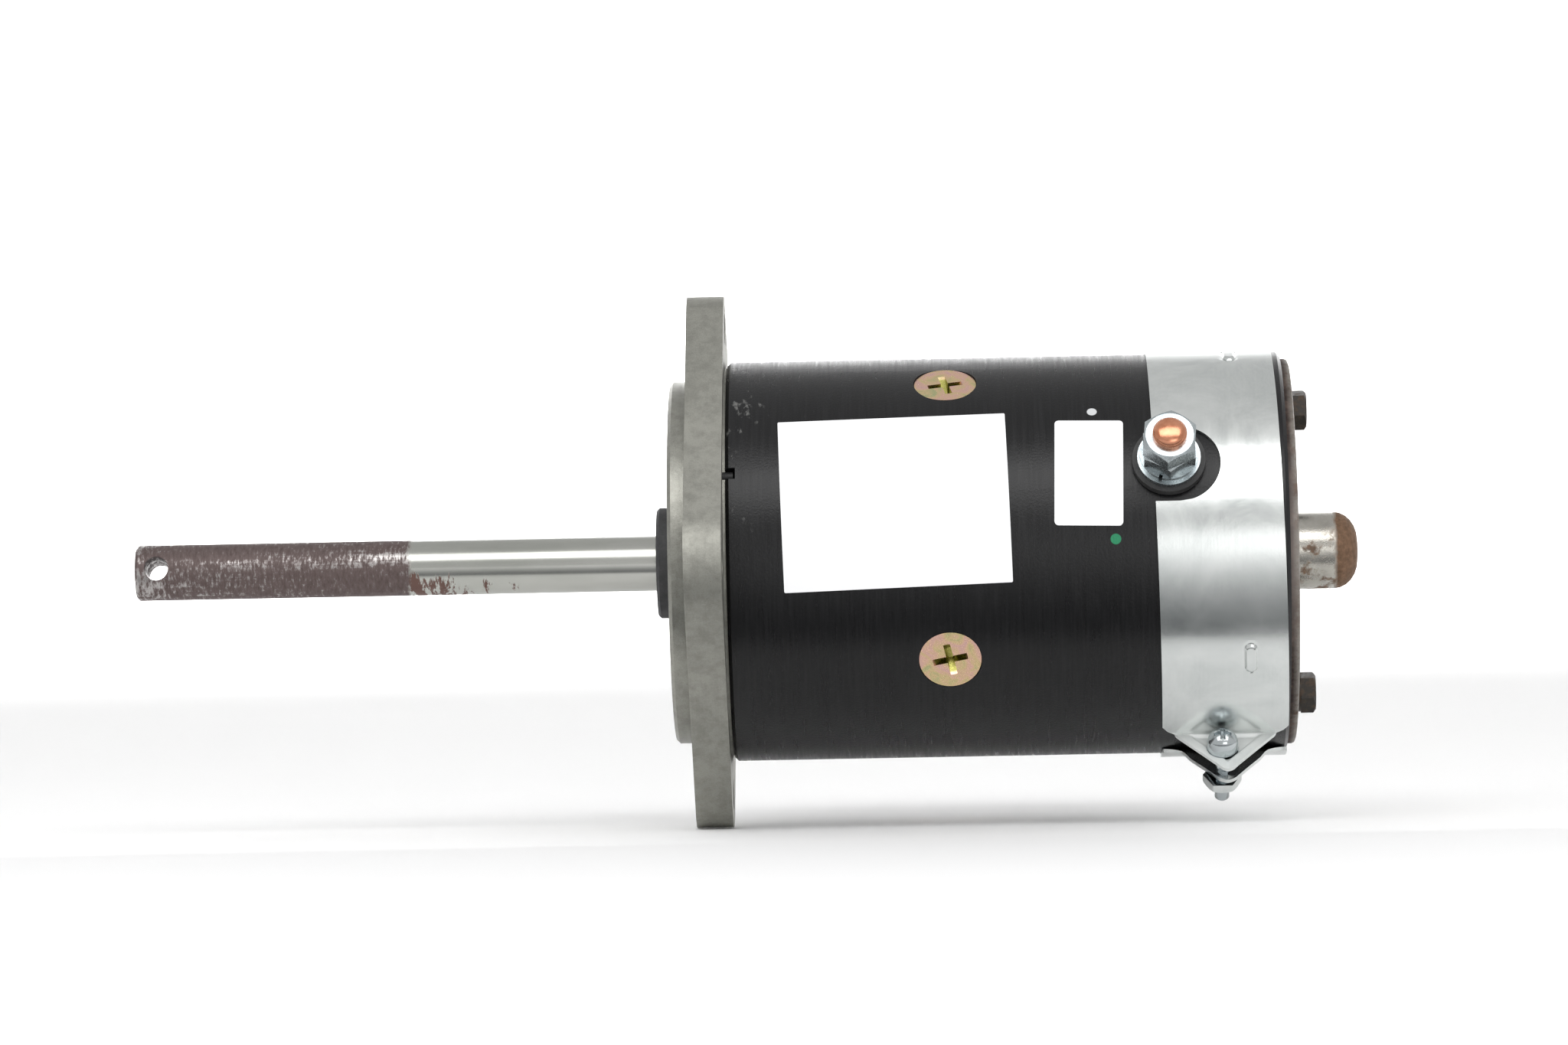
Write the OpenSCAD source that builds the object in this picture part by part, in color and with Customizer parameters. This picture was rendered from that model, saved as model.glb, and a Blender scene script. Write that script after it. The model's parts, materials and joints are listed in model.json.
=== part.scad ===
// Direct-current motor with a 4.5 inch steel yoke, a square-flanged drive end and a brush cover band.
// The shaft axis is X. The free shaft end points to -X and the brush gear sits at the +X end.
// The origin is on the shaft axis, in the plane of the flange's mounting face.
// Angles round the axis are measured from -Y and are positive towards +Z.

/* [Yoke] */
// Outside diameter of the yoke
yoke_d = 114.3; // [114:0.1:114.6]
// Length of the yoke
yoke_len = 157.6; // [157.4:0.1:157.8]
// Wall thickness of the yoke
yoke_wall = 7.6; // [7.5:0.1:7.7]

/* [Drive end] */
// Tip to tip size of the flange
flange_tip = 152.4; // [150:0.2:156]
// Thickness of the flange
flange_t = 10.6; // [10:0.1:11]
// Corner radius of the flange
flange_ear_r = 17.5; // [16.5:0.5:18]
// Diameter of the circle of mounting holes
bolt_circle = 133.35; // [132:0.05:134]
// Diameter of the mounting holes
bolt_hole_d = 8.7; // [7:0.1:9.2]
// Diameter of the locating pilot
pilot_d = 103.7; // [102:0.1:105]
// Height of the pilot above the flange face
pilot_h = 5.2; // [5:0.05:5.4]

/* [Shaft] */
// Diameter of the output shaft
shaft_d = 15.875; // [15.87:0.005:15.88]
// Reach of the shaft in front of the flange face
shaft_reach = 159.7; // [120:0.1:200]
// Diameter of the cross hole near the free end
cross_hole_d = 6.9; // [4:0.1:8]
// Distance from the free end to the centre of the cross hole
cross_hole_inset = 6.2; // [5.5:0.1:9]

/* [Rotor] */
// Radius of the armature core
core_r = 34; // [33.6:0.1:34.1]
// Number of armature slots and commutator bars
slots = 21; // [15:2:23]
// Radius of the commutator's brush track
comm_r = 22; // [22:0.1:22.05]

/* [Cover band] */
// Width of the cover band
band_w = 35.6; // [35:0.1:36]
// Thickness of the cover band
band_t = 1; // [0.8:0.1:1.2]
// Angle round the axis at which the band's front end stops
band_front_a = -61.6; // [-63:0.2:-60]
// Angle round the axis at which the band's rear end stops
band_rear_a = -73.6; // [-74:0.1:-73.4]
// How far the band sits askew on the yoke, in degrees
band_skew = 1.2; // [0:0.1:1.4]

/* [Terminal] */
// Distance of the terminal stud from the flange face
stud_x = 135.6; // [135:0.1:136.5]
// Angle of the terminal stud round the axis
stud_a = 26.7; // [24:0.1:28]
// Radius from the shaft axis to the tip of the stud
stud_tip_r = 76.7; // [76:0.1:79]

/* [Hidden] */
$fn = 96;
eps = 0.01;
inch = 25.4;

// Yoke
yoke_r = yoke_d / 2;
yoke_ri = yoke_r - yoke_wall;
yoke_x0 = flange_t + 0.8;
yoke_x1 = yoke_x0 + yoke_len;
yoke_edge = 1;
pole_a = [-30, 60, 150, 240];
bolt_a = [105, 285];
bolt_ring_r = 41.8;
bolt_r = inch / 8;
pin_a = 26;
pin_ring_r = 54.6;
pin_r = 1.5;

// Drive end head and bearing
ear_c = flange_tip / 2 - flange_ear_r;
seal_r = inch * 5 / 8;
seal_x0 = -9.85;
seal_x1 = -1.6;
brg_x0 = 1;
brg_x1 = 12;
brg_r = 17.5;
brg_mid = (brg_x0 + brg_x1) / 2;
ball_r = 2.85;
ball_count = 8;
race_gap = 0.2;
outer_race_r = 14.9;
hub_r = 24;
spigot_r = yoke_ri - 0.1;
spigot_x1 = 18.6;
clip_x = brg_x1 + 0.1;
clip_t = 1.2;

// Shaft and rotor
shaft_r = shaft_d / 2;
seal_journal_r = shaft_r - 0.25;
seal_journal_x0 = seal_x0 - 0.35;
seal_lip_r = seal_journal_r + 0.35;
inner_race_r = 10.55;
pitch_r = (outer_race_r + inner_race_r) / 2;
shoulder_r = 9.5;
journal_r = 7.14;
journal_x0 = 168.8;
shaft_x1 = 186.2;
core_x0 = 36.5;
core_x1 = 110.5;
slot_w = 4.2;
slot_r0 = 24;
slot_r1 = 32.6;
slot_mouth = 2;
coil_end_x0 = 23.5;
coil_end_x1 = 125.9;
riser_x0 = 126;
riser_x1 = 130;
riser_r = 25;
comm_x1 = 162.4;
comm_hub_r = 15;
mica = 0.8;

// Field
air_gap = 0.6;
pole_r = core_r + air_gap;
pole_x0 = core_x0 - 1;
pole_x1 = core_x1 + 1;
pole_x = (pole_x0 + pole_x1) / 2;
pole_tip_r = 38.8;
pole_tip_a = 33;
neck_half = 13;
coil_r0 = 39.2;
coil_r1 = yoke_ri - 0.35;
coil_half_len = 47;
coil_half_w = 25;
coil_corner = 12;
screw_r = 4;
screw_head_r = 8.75;
screw_top_r = yoke_r - 0.62;
screw_end_r = 40;
cone_h = (screw_head_r - screw_r) / tan(41);

// Commutator end
plate_t = 2.5;
plate_r = 55.1;
plate_x0 = yoke_x1;
plate_x1 = plate_x0 + plate_t;
cup_r = 11;
cup_bore_r = 9;
cup_x1 = 190.6;
nose_r = 8;
nose_len = 6.8;
bolt_head_af = 10.3;
bolt_head_h = 4.3;
ring_screw_r = 33;
ring_screw_hole_r = 1.65;
bush_x0 = 171.2;
bush_x1 = 186;
washer_x0 = 169.7;
washer_t = 1.2;

// Brush gear
brush_x0 = 141;
brush_x1 = 161;
brush_half = 4.75;
brush_top = 38;
brush_travel = 6;
brush_gap = 0.06;
board_x0 = 163.6;
board_x1 = 166;
board_r = 48.4;
holder_wall = 1.6;
holder_r0 = 25;
holder_r1 = 38.4;
arm_len = 13.35;
arm_swing = 2 * asin(brush_travel / 2 / arm_len);
tip_r = 2;
arm_pivot_y = arm_len * cos(arm_swing / 2);
arm_pivot_r = brush_top + 0.3 + tip_r + brush_travel / 2;
post_r = 1.8;
arm_x0 = 147;
arm_x1 = 153;
lead_x = 158;
lead_r = 1;
window_half_a = 17;
window_x0 = 140;
window_x1 = 163;

// Cover band
band_r0 = yoke_r + 0.2;
band_r1 = band_r0 + band_t;
band_x1 = 167.55;
band_x0 = band_x1 - band_w;
band_x = (band_x0 + band_x1) / 2;
front_ear = [-27, -51.2];
front_ear_dir = 39.8;
rear_ear = [-16.35, -56.8];
rear_ear_dir = 24;
front_ear_len = 16;
rear_ear_len = 18;
ear_tip_r = 3;
ear_hole_t = 6.9;
clamp_nut_z = -9.25;
clamp_nut_t = 3;
notch_r = 11.7;
notch_x = 138.4;
notch_a = 26.4;
beads = [[157, -30.5], [155.4, 74], [157, 118], [155.4, 224]];
clamp_r = 2.1;
clamp_len = 19;
clamp_head_r = 4.4;
clamp_skirt = 1.8;
clamp_crown = 4;
clamp_top_r = 2.4;

// Terminal
stud_r = inch * 3 / 16;
stud_hole_r = 7;
stud_head = 14;
nut_af = inch * 9 / 16;
iso_t = 2.2;
flat_t = 1.4;
lock_t = 2.2;
nut_t = 5.5;
stud_hw = [yoke_r + 0.05, yoke_r + 0.05 + iso_t];
flat_z = stud_hw[1];
lock_z = flat_z + flat_t;
jam_z = lock_z + lock_t;
nut_z = jam_z + nut_t;

// Labels: start, end, lower angle, upper angle, corner radius, tilt
label_t = 0.16;
rating = [26.85, 90.75, -7.9, 44.1, 0.4, 1.5];
serial = [103.65, 122.85, 8.5, 41.5, 1.2, -1.4];

// ---- Placing helpers ----

// Direction of an angle round the axis, as [Y, Z]
function around(a) = [-cos(a), sin(a)];

// Turned body; the points are [radius, x]
module turned(points) rotate([0, 90, 0]) rotate_extrude() polygon(points);

// Plain rod on the shaft axis
module rod(x0, x1, r) translate([x0, 0, 0]) rotate([0, 90, 0]) cylinder(h = x1 - x0, r = r);

// Ring on the shaft axis
module ring(x0, x1, r_out, r_in) difference() {
    rod(x0, x1, r_out);
    rod(x0 - 1, x1 + 1, r_in);
}

// Extrusion of a [Y, Z] section along the shaft axis
module section(x0, x1) translate([x0, 0, 0]) rotate([90, 0, 90]) linear_extrude(x1 - x0) children();

// Local frame with Z radially outward at an angle, X along the axis and Y round it
module radial(x, a) translate([x, 0, 0]) rotate([90 - a, 0, 0]) children();

// Wedge of a section between two angles
module wedge(r, a0, a1, steps = 12) polygon(concat(
    [[0, 0]],
    [for (i = [0:steps]) r * around(a0 + (a1 - a0) * i / steps)]
));

// Annular sector of a section
module sector(r_in, r_out, a0, a1, steps = 12) intersection() {
    difference() {
        circle(r = r_out);
        circle(r = r_in);
    }
    wedge(2 * r_out, a0, a1, steps);
}

// Rectangle with round corners
module rounded(w, h, r) {
    square([w - 2 * r, h], center = true);
    square([w, h - 2 * r], center = true);
    for (x = [-1, 1], y = [-1, 1])
        translate([x * (w / 2 - r), y * (h / 2 - r)]) circle(r = r);
}

// Hexagonal prism across flats, with a chamfer at its top
module hex_prism(af, h) intersection() {
    cylinder(h = h, r = af / 2 / cos(30), $fn = 6);
    union() {
        cylinder(h = h - af * 0.08, r = af);
        translate([0, 0, h - af * 0.08]) cylinder(h = af * 0.08, r1 = af * 0.58, r2 = af * 0.47);
    }
}

// Cross recess, open at z = 0 and going down
module cross_recess(size, depth) intersection() {
    translate([0, 0, -depth]) cylinder(h = depth + eps, r1 = size * 0.16, r2 = size / 2);
    union() {
        translate([-size, -size * 0.1, -depth]) cube([2 * size, size * 0.2, depth + 1]);
        translate([-size * 0.1, -size, -depth]) cube([size * 0.2, 2 * size, depth + 1]);
    }
}

// ---- Yoke and field ----

module yoke() color([0.09, 0.09, 0.1]) difference() {
    turned([
        [yoke_ri, yoke_x0], [yoke_r - yoke_edge, yoke_x0], [yoke_r, yoke_x0 + yoke_edge],
        [yoke_r, yoke_x1 - yoke_edge], [yoke_r - yoke_edge, yoke_x1], [yoke_ri, yoke_x1]
    ]);
    for (a = pole_a) {
        radial(pole_x, a) translate([0, 0, yoke_ri - 2]) cylinder(h = 12, r = screw_r + 0.2);
        radial(pole_x, a) translate([0, 0, screw_top_r - cone_h])
            cylinder(h = cone_h, r1 = screw_r + 0.2, r2 = screw_head_r + 0.2);
        radial(pole_x, a) translate([0, 0, screw_top_r - eps]) cylinder(h = 3, r = screw_head_r + 0.2);
        section(window_x0, window_x1) sector(yoke_ri - 2, yoke_r + 2, a - window_half_a, a + window_half_a);
    }
    radial(stud_x, stud_a) translate([0, 0, yoke_ri - 3]) cylinder(h = 14, r = stud_hole_r);
    radial(yoke_x0, pin_a) translate([-1, -pin_r - 0.2, 51.6]) cube([3.8, 2 * pin_r + 0.4, 8]);
}

module pole_shoe(a) color([0.35, 0.36, 0.38]) difference() {
    section(pole_x0, pole_x1) {
        intersection() {
            sector(pole_r, yoke_ri - 0.05, a - 40, a + 40);
            rotate(-a) translate([-60, -neck_half]) square([60, 2 * neck_half]);
        }
        sector(pole_r, pole_tip_r, a - pole_tip_a, a + pole_tip_a);
    }
    radial(pole_x, a) translate([0, 0, screw_end_r - 0.6]) cylinder(h = 14, r = screw_r + 0.05);
}

module field_coil(a) color([0.5, 0.2, 0.1]) difference() {
    intersection() {
        ring(pole_x - coil_half_len - 1, pole_x + coil_half_len + 1, coil_r1, coil_r0);
        radial(pole_x, a) linear_extrude(60) rounded(2 * coil_half_len, 2 * coil_half_w, coil_corner);
    }
    radial(pole_x, a) linear_extrude(61)
        rounded(pole_x1 - pole_x0 + 0.8, 2 * neck_half + 0.8, 1);
}

// Copper straps that join the coils in series, and the strap to the terminal stud
module field_jumpers() color([0.72, 0.4, 0.22]) {
    strap_x = pole_x + coil_half_len;
    strap_t = 3;
    stud_end = stud_x - stud_head / 2;
    r0 = bolt_ring_r + bolt_r + 0.6;
    r1 = r0 + 1.3;
    for (i = [0:2])
        section(strap_x, strap_x + strap_t) sector(r0, r1, pole_a[i] + 18, pole_a[i + 1] - 18);
    section(strap_x, stud_end) sector(r0, r1, pole_a[0] - 20, pole_a[0] - 14);
    section(stud_end - strap_t, stud_end) sector(r0, r1, pole_a[0] - 14.5, stud_a + 4);
}

module pole_screws() color([0.75, 0.66, 0.42]) for (a = pole_a)
    radial(pole_x, a) difference() {
        union() {
            translate([0, 0, screw_end_r]) cylinder(h = screw_top_r - screw_end_r, r = screw_r);
            translate([0, 0, screw_top_r - cone_h]) cylinder(h = cone_h, r1 = screw_r, r2 = screw_head_r);
        }
        translate([0, 0, screw_top_r]) rotate(12) cross_recess(10, 4);
    }

// ---- Drive end ----

module flange_outline() {
    polygon([for (k = [0:3], s = [-45, 45])
        ear_c * [cos(90 * k), sin(90 * k)] + flange_ear_r * [cos(90 * k + s), sin(90 * k + s)]]);
    for (k = [0:3]) rotate(90 * k) translate([ear_c, 0]) circle(r = flange_ear_r);
}

module drive_end_head() color([0.62, 0.62, 0.6]) difference() {
    union() {
        section(0, flange_t) flange_outline();
        turned([
            [0, -pilot_h], [pilot_d / 2 - 1, -pilot_h], [pilot_d / 2, -pilot_h + 1],
            [pilot_d / 2, flange_t / 2], [yoke_r - 1.6, flange_t / 2], [yoke_r - 1.6, yoke_x0],
            [spigot_r, yoke_x0],
            [spigot_r, spigot_x1 - 0.6], [spigot_r - 0.6, spigot_x1], [44, spigot_x1], [44, 6],
            [hub_r, 6], [hub_r, 15.4], [0, 15.4]
        ]);
        for (k = [0:7]) section(5, 14) rotate(22.5 + 45 * k) translate([hub_r - 2, -1.5]) square([23, 3]);
        for (a = bolt_a) translate([5, bolt_ring_r * around(a)[0], bolt_ring_r * around(a)[1]])
            rotate([0, 90, 0]) cylinder(h = spigot_x1 - 5, r = 6.6);
    }
    // Undercut round the pilot, in the flange face
    turned([[pilot_d / 2, -eps], [pilot_d / 2 + 0.9, -eps], [pilot_d / 2 + 0.9, 0.6], [pilot_d / 2, 0.6]]);
    // Seal seat, lip space, bearing seat with the groove of its retaining ring
    turned([
        [0, -pilot_h - 1], [seal_r + 0.01, -pilot_h - 1], [seal_r + 0.01, seal_x1], [13.2, seal_x1],
        [13.2, brg_x0], [brg_r + 0.01, brg_x0], [brg_r + 0.01, clip_x - 0.05],
        [brg_r + 1.2, clip_x - 0.05], [brg_r + 1.2, clip_x + clip_t + 0.05],
        [brg_r + 0.01, clip_x + clip_t + 0.05], [brg_r + 0.01, 17], [0, 17]
    ]);
    for (k = [0:3]) section(-1, flange_t + 1)
        rotate(90 * k) translate([bolt_circle / 2, 0]) circle(d = bolt_hole_d);
    for (a = bolt_a) section(2, spigot_x1 + 1) translate(bolt_ring_r * around(a)) circle(r = bolt_r + 0.02);
    section(6.6, flange_t + 2) translate(pin_ring_r * around(pin_a)) circle(r = pin_r + 0.02);
    // Shallow cast relief in the pilot's front face
    turned([[24, -pilot_h - 1], [42, -pilot_h - 1], [40, -pilot_h + 1.6], [26, -pilot_h + 1.6]]);
}

module bearing_outer_ring() color([0.75, 0.76, 0.78]) difference() {
    turned([
        [outer_race_r, brg_x0], [brg_r - 0.5, brg_x0], [brg_r, brg_x0 + 0.5],
        [brg_r, brg_x1 - 0.5], [brg_r - 0.5, brg_x1], [outer_race_r, brg_x1]
    ]);
    rotate([0, 90, 0]) rotate_extrude() translate([pitch_r, brg_mid]) circle(r = ball_r + race_gap);
}

module bearing_inner_ring() color([0.75, 0.76, 0.78]) difference() {
    turned([
        [shaft_r, brg_x0], [inner_race_r, brg_x0], [inner_race_r, brg_x1], [shaft_r, brg_x1]
    ]);
    rotate([0, 90, 0]) rotate_extrude() translate([pitch_r, brg_mid]) circle(r = ball_r + race_gap);
}

module bearing_balls() color([0.85, 0.86, 0.88]) for (k = [0:ball_count - 1])
    radial(brg_mid, 360 * k / ball_count) translate([0, 0, pitch_r]) sphere(r = ball_r);

module bearing_cage() color([0.7, 0.6, 0.35]) difference() {
    ring(brg_mid - 3.6, brg_mid + 3.6, pitch_r + 0.7, pitch_r - 0.7);
    for (k = [0:ball_count - 1]) radial(brg_mid, 360 * k / ball_count)
        cylinder(h = 20, r = ball_r + 0.05);
}

module bearing_shields() color([0.7, 0.7, 0.72])
    for (x = [brg_x0 + 0.4, brg_x1 - 0.8]) ring(x, x + 0.4, outer_race_r - 0.01, inner_race_r + 0.4);

// Retaining ring with a gap, for a bore or for a shaft
module open_ring(x, t, r_out, r_in, gap_a) section(x, x + t) difference() {
    circle(r = r_out);
    circle(r = r_in);
    wedge(2 * r_out, gap_a - 18, gap_a + 18, 2);
}

module bearing_retaining_ring() color([0.3, 0.3, 0.32])
    open_ring(clip_x, clip_t, brg_r + 1.1, brg_r - 2, -90);

module shaft_retaining_ring() color([0.3, 0.3, 0.32])
    open_ring(brg_x0 - 1.15, 1.1, 10.4, shaft_r - 0.7, 90);

module shaft_seal() color([0.16, 0.16, 0.17]) turned([
    [seal_lip_r, seal_x0 + 1.2], [shaft_r + 1.6, seal_x0], [seal_r - 0.8, seal_x0],
    [seal_r, seal_x0 + 0.8], [seal_r, seal_x1 - 0.05], [seal_r - 2, seal_x1 - 0.05],
    [seal_r - 2, seal_x0 + 2.4], [shaft_r + 2.4, seal_x0 + 2.4], [shaft_r + 2.4, seal_x1 - 1.4],
    [seal_lip_r, seal_x1 - 2.6]
]);

module locating_pin() color([0.7, 0.7, 0.7])
    section(6.8, yoke_x0 + 2.2) translate(pin_ring_r * around(pin_a)) circle(r = pin_r);

// ---- Rotor ----

module shaft() color([0.55, 0.54, 0.53]) difference() {
    turned([
        [0, -shaft_reach], [shaft_r - 0.8, -shaft_reach], [shaft_r, -shaft_reach + 0.8],
        [shaft_r, seal_journal_x0], [seal_journal_r, seal_journal_x0], [seal_journal_r, brg_x0 - 1.2],
        [shaft_r - 0.75, brg_x0 - 1.2], [shaft_r - 0.75, brg_x0],
        [shaft_r, brg_x0], [shaft_r, brg_x1], [shoulder_r, brg_x1], [shoulder_r, comm_x1 + 1],
        [8.2, comm_x1 + 1], [8.2, journal_x0], [journal_r, journal_x0],
        [journal_r, shaft_x1 - 0.6], [journal_r - 0.6, shaft_x1], [0, shaft_x1]
    ]);
    translate([-shaft_reach + cross_hole_inset, 0, 0]) rotate([90 - 11, 0, 0])
        cylinder(h = 3 * shaft_d, d = cross_hole_d, center = true);
}

module armature_core() color([0.42, 0.43, 0.45]) section(core_x0, core_x1) difference() {
    circle(r = core_r);
    circle(r = shoulder_r + 0.01);
    for (k = [0:slots - 1]) rotate(360 * k / slots) {
        translate([slot_r0, -slot_w / 2]) square([slot_r1 - slot_r0, slot_w]);
        translate([slot_r1 - 1, -slot_mouth / 2]) square([core_r - slot_r1 + 3, slot_mouth]);
    }
}

module armature_winding() color([0.72, 0.4, 0.2]) {
    section(core_x0 - 2, core_x1 + 2) for (k = [0:slots - 1]) rotate(360 * k / slots)
        translate([slot_r0 + 0.3, -slot_w / 2 + 0.3]) square([slot_r1 - slot_r0 - 0.6, slot_w - 0.6]);
    turned([
        [12, core_x0 - 0.6], [12, coil_end_x0 + 2], [14, coil_end_x0], [27, coil_end_x0],
        [31, coil_end_x0 + 4], [32.2, core_x0 - 2], [32.2, core_x0 - 0.6]
    ]);
    turned([
        [12, core_x1 + 0.6], [32.2, core_x1 + 0.6], [32.2, core_x1 + 2.5], [28, coil_end_x1 - 4],
        [riser_r, coil_end_x1], [12, coil_end_x1]
    ]);
}

module commutator_bars() color([0.8, 0.46, 0.26]) difference() {
    turned([
        [comm_hub_r, riser_x0], [riser_r, riser_x0], [riser_r, riser_x1], [comm_r, riser_x1],
        [comm_r, comm_x1 - 0.6], [comm_r - 0.6, comm_x1], [comm_hub_r, comm_x1]
    ]);
    section(riser_x0 - 1, comm_x1 + 1) for (k = [0:slots - 1])
        rotate(360 * (k + 0.5) / slots) translate([0, -mica / 2]) square([2 * riser_r, mica]);
}

module commutator_hub() color([0.16, 0.12, 0.1])
    ring(riser_x0, comm_x1 - 0.6, comm_hub_r - 0.01, shoulder_r + 0.01);

// ---- Commutator end ----

module thrust_washer() color([0.3, 0.22, 0.16])
    ring(washer_x0, washer_x0 + washer_t, cup_bore_r - 0.1, journal_r + 0.2);

module rear_bushing() color([0.72, 0.52, 0.28])
    ring(bush_x0, bush_x1, cup_bore_r - 0.01, journal_r + 0.05);

module commutator_end_head() color([0.45, 0.36, 0.32]) difference() {
    union() {
        turned([
            [0, plate_x0], [plate_r, plate_x0], [plate_r, plate_x1 - 1], [plate_r - 0.3, plate_x1 - 0.3],
            [plate_r - 1, plate_x1], [cup_r + 1.4, plate_x1], [cup_r + 0.4, plate_x1 + 0.4],
            [cup_r, plate_x1 + 1.4],
            for (t = [0:15:90]) [cup_r - nose_r * (1 - cos(t)), cup_x1 - nose_len * (1 - sin(t))],
            [0, cup_x1]
        ]);
        ring(plate_x0 - 2.4, plate_x0 + 1, yoke_ri - 0.1, yoke_ri - 2.6);
    }
    rod(plate_x0 - 1, cup_x1 - 2.6, cup_bore_r);
    for (a = bolt_a) section(plate_x0 - 1, plate_x1 + 1)
        translate(bolt_ring_r * around(a)) circle(r = bolt_r + 0.25);
    for (a = pole_a) section(plate_x0 - 1, plate_x1 + 1)
        translate(ring_screw_r * around(a + 45)) circle(r = ring_screw_hole_r);
}

module through_bolts() color([0.3, 0.26, 0.24]) for (a = bolt_a)
    translate([0, bolt_ring_r * around(a)[0], bolt_ring_r * around(a)[1]]) rotate([0, 90, 0]) {
        translate([0, 0, 4]) cylinder(h = plate_x1 + 2 - 4, r = bolt_r);
        translate([0, 0, plate_x1 + 1.5]) rotate(a) hex_prism(bolt_head_af, bolt_head_h);
    }

module through_bolt_washers() color([0.35, 0.3, 0.28]) for (a = bolt_a)
    translate([plate_x1, bolt_ring_r * around(a)[0], bolt_ring_r * around(a)[1]]) rotate([0, 90, 0])
        difference() {
            cylinder(h = 1.5, r = 5.4);
            translate([0, 0, -1]) cylinder(h = 4, r = bolt_r + 0.1);
            translate([2, -0.5, -1]) cube([6, 1, 4]);
        }

// ---- Brush gear ----

module brush_plate() color([0.45, 0.3, 0.18]) difference() {
    ring(board_x0, board_x1, board_r, 14);
    for (a = bolt_a) section(board_x0 - 1, board_x1 + 1)
        translate(bolt_ring_r * around(a)) circle(r = bolt_r + 1);
    for (a = pole_a) section(board_x0 - 1, board_x1 + 1)
        translate(ring_screw_r * around(a + 45)) circle(r = ring_screw_hole_r);
}

module brush_plate_screws() color([0.6, 0.6, 0.6]) for (a = pole_a)
    translate([0, ring_screw_r * around(a + 45)[0], ring_screw_r * around(a + 45)[1]]) rotate([0, 90, 0]) {
        translate([0, 0, board_x0 - 2]) cylinder(h = 2, r = 3);
        translate([0, 0, board_x0 - 1]) cylinder(h = plate_x1 - board_x0, r = ring_screw_hole_r - 0.05);
        translate([0, 0, board_x1]) cylinder(h = plate_x0 - board_x1, r = 3);
    }

module brush_holder(a) color([0.72, 0.58, 0.3]) radial(0, a) {
    difference() {
        translate([brush_x0 - 0.3 - holder_wall, -brush_half - 0.3 - holder_wall, holder_r0])
            cube([board_x0 - brush_x0 + 0.3 + holder_wall, 2 * (brush_half + 0.3 + holder_wall),
                holder_r1 - holder_r0]);
        translate([brush_x0 - 0.3, -brush_half - 0.3, holder_r0 - 1])
            cube([brush_x1 - brush_x0 + 0.6, 2 * brush_half + 0.6, holder_r1 - holder_r0 + 2]);
    }
    // Foot that carries the spring post
    translate([board_x0 - 1.4, brush_half, 34]) cube([1.4, arm_pivot_y - brush_half + 1, arm_pivot_r - 32.5]);
    translate([arm_x0 - 0.6, arm_pivot_y, arm_pivot_r]) rotate([0, 90, 0])
        cylinder(h = board_x0 - arm_x0 + 0.6, r = post_r);
    // Lug of the brush lead
    translate([lead_x - 1.5, -12, 30]) cube([board_x0 - lead_x + 1.5, 12 - brush_half - 0.4, 3]);
}

module brush(a) color([0.2, 0.2, 0.21]) difference() {
    radial(0, a) translate([brush_x0, -brush_half, comm_r - 1])
        cube([brush_x1 - brush_x0, 2 * brush_half, brush_top - comm_r + 1]);
    rod(brush_x0 - 1, brush_x1 + 1, comm_r + brush_gap);
}

// Coiled flat spring on its post, with an arm that presses on the brush
module brush_spring(a) color([0.55, 0.56, 0.6]) radial(0, a)
    translate([0, arm_pivot_y, arm_pivot_r]) rotate([arm_swing / 2, 0, 0]) difference() {
        union() {
            translate([arm_x0, 0, 0]) rotate([0, 90, 0]) cylinder(h = arm_x1 - arm_x0 + 3, r = 4.1);
            translate([arm_x0, -arm_len, -0.7]) cube([arm_x1 - arm_x0, arm_len, 1.4]);
            translate([arm_x0, -arm_len, 0]) rotate([0, 90, 0]) cylinder(h = arm_x1 - arm_x0, r = tip_r);
        }
        translate([arm_x0 - 1, 0, 0]) rotate([0, 90, 0]) cylinder(h = 20, r = post_r + 0.08);
    }

// Braided lead that loops from the brush to the lug on its holder
module brush_lead(a) color([0.75, 0.45, 0.28]) radial(0, a) translate([lead_x, 0, 0]) {
    loop_r = 3.7;
    top = brush_top + 2;
    foot_y = -1.6 - 2 * loop_r;
    translate([0, -1.6, brush_top]) cylinder(h = top - brush_top, r = lead_r);
    translate([0, -1.6 - loop_r, top]) rotate([90, 0, 90])
        rotate_extrude(angle = 180) translate([loop_r, 0]) circle(r = lead_r);
    translate([0, foot_y, 33]) cylinder(h = top - 33, r = lead_r);
}

// ---- Cover band ----

// Local frame of a clamp ear: X along the axis, Y out along the ear, Z square to its lower face
module ear_frame(root, dir) translate([band_x, root[0], root[1]]) rotate([dir, 0, 0]) rotate([0, 0, 180])
    children();

module ear_outline(half, base, len) {
    shoulder = len - ear_tip_r * 0.62;
    polygon([[-half, base], [half, base], [ear_tip_r * 0.92, shoulder], [-ear_tip_r * 0.92, shoulder]]);
    translate([0, len - ear_tip_r]) circle(r = ear_tip_r);
}

// Opening between the band's two ends
module band_opening() radial(band_x, (band_front_a + band_rear_a) / 2) translate([0, 0, band_r0 - 5])
    linear_extrude(10)
        square([band_w + 8, 2 * band_r1 * sin((band_front_a - band_rear_a) / 2)], center = true);

// Stiffening bead pressed outward from the band
module bead(x, a) intersection() {
    radial(x, a) translate([0, 0, 50]) linear_extrude(20) rounded(3.4, 8.9, 1.69);
    ring(x - 10, x + 10, band_r1 + 0.6, band_r0 + band_t / 2);
}

// Slot that lets the band slide on round the terminal
module terminal_slot() radial(0, notch_a) linear_extrude(80) {
    translate([notch_x, 0]) circle(r = notch_r);
    translate([notch_x - 20, -notch_r]) square([20, 2 * notch_r]);
}

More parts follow.
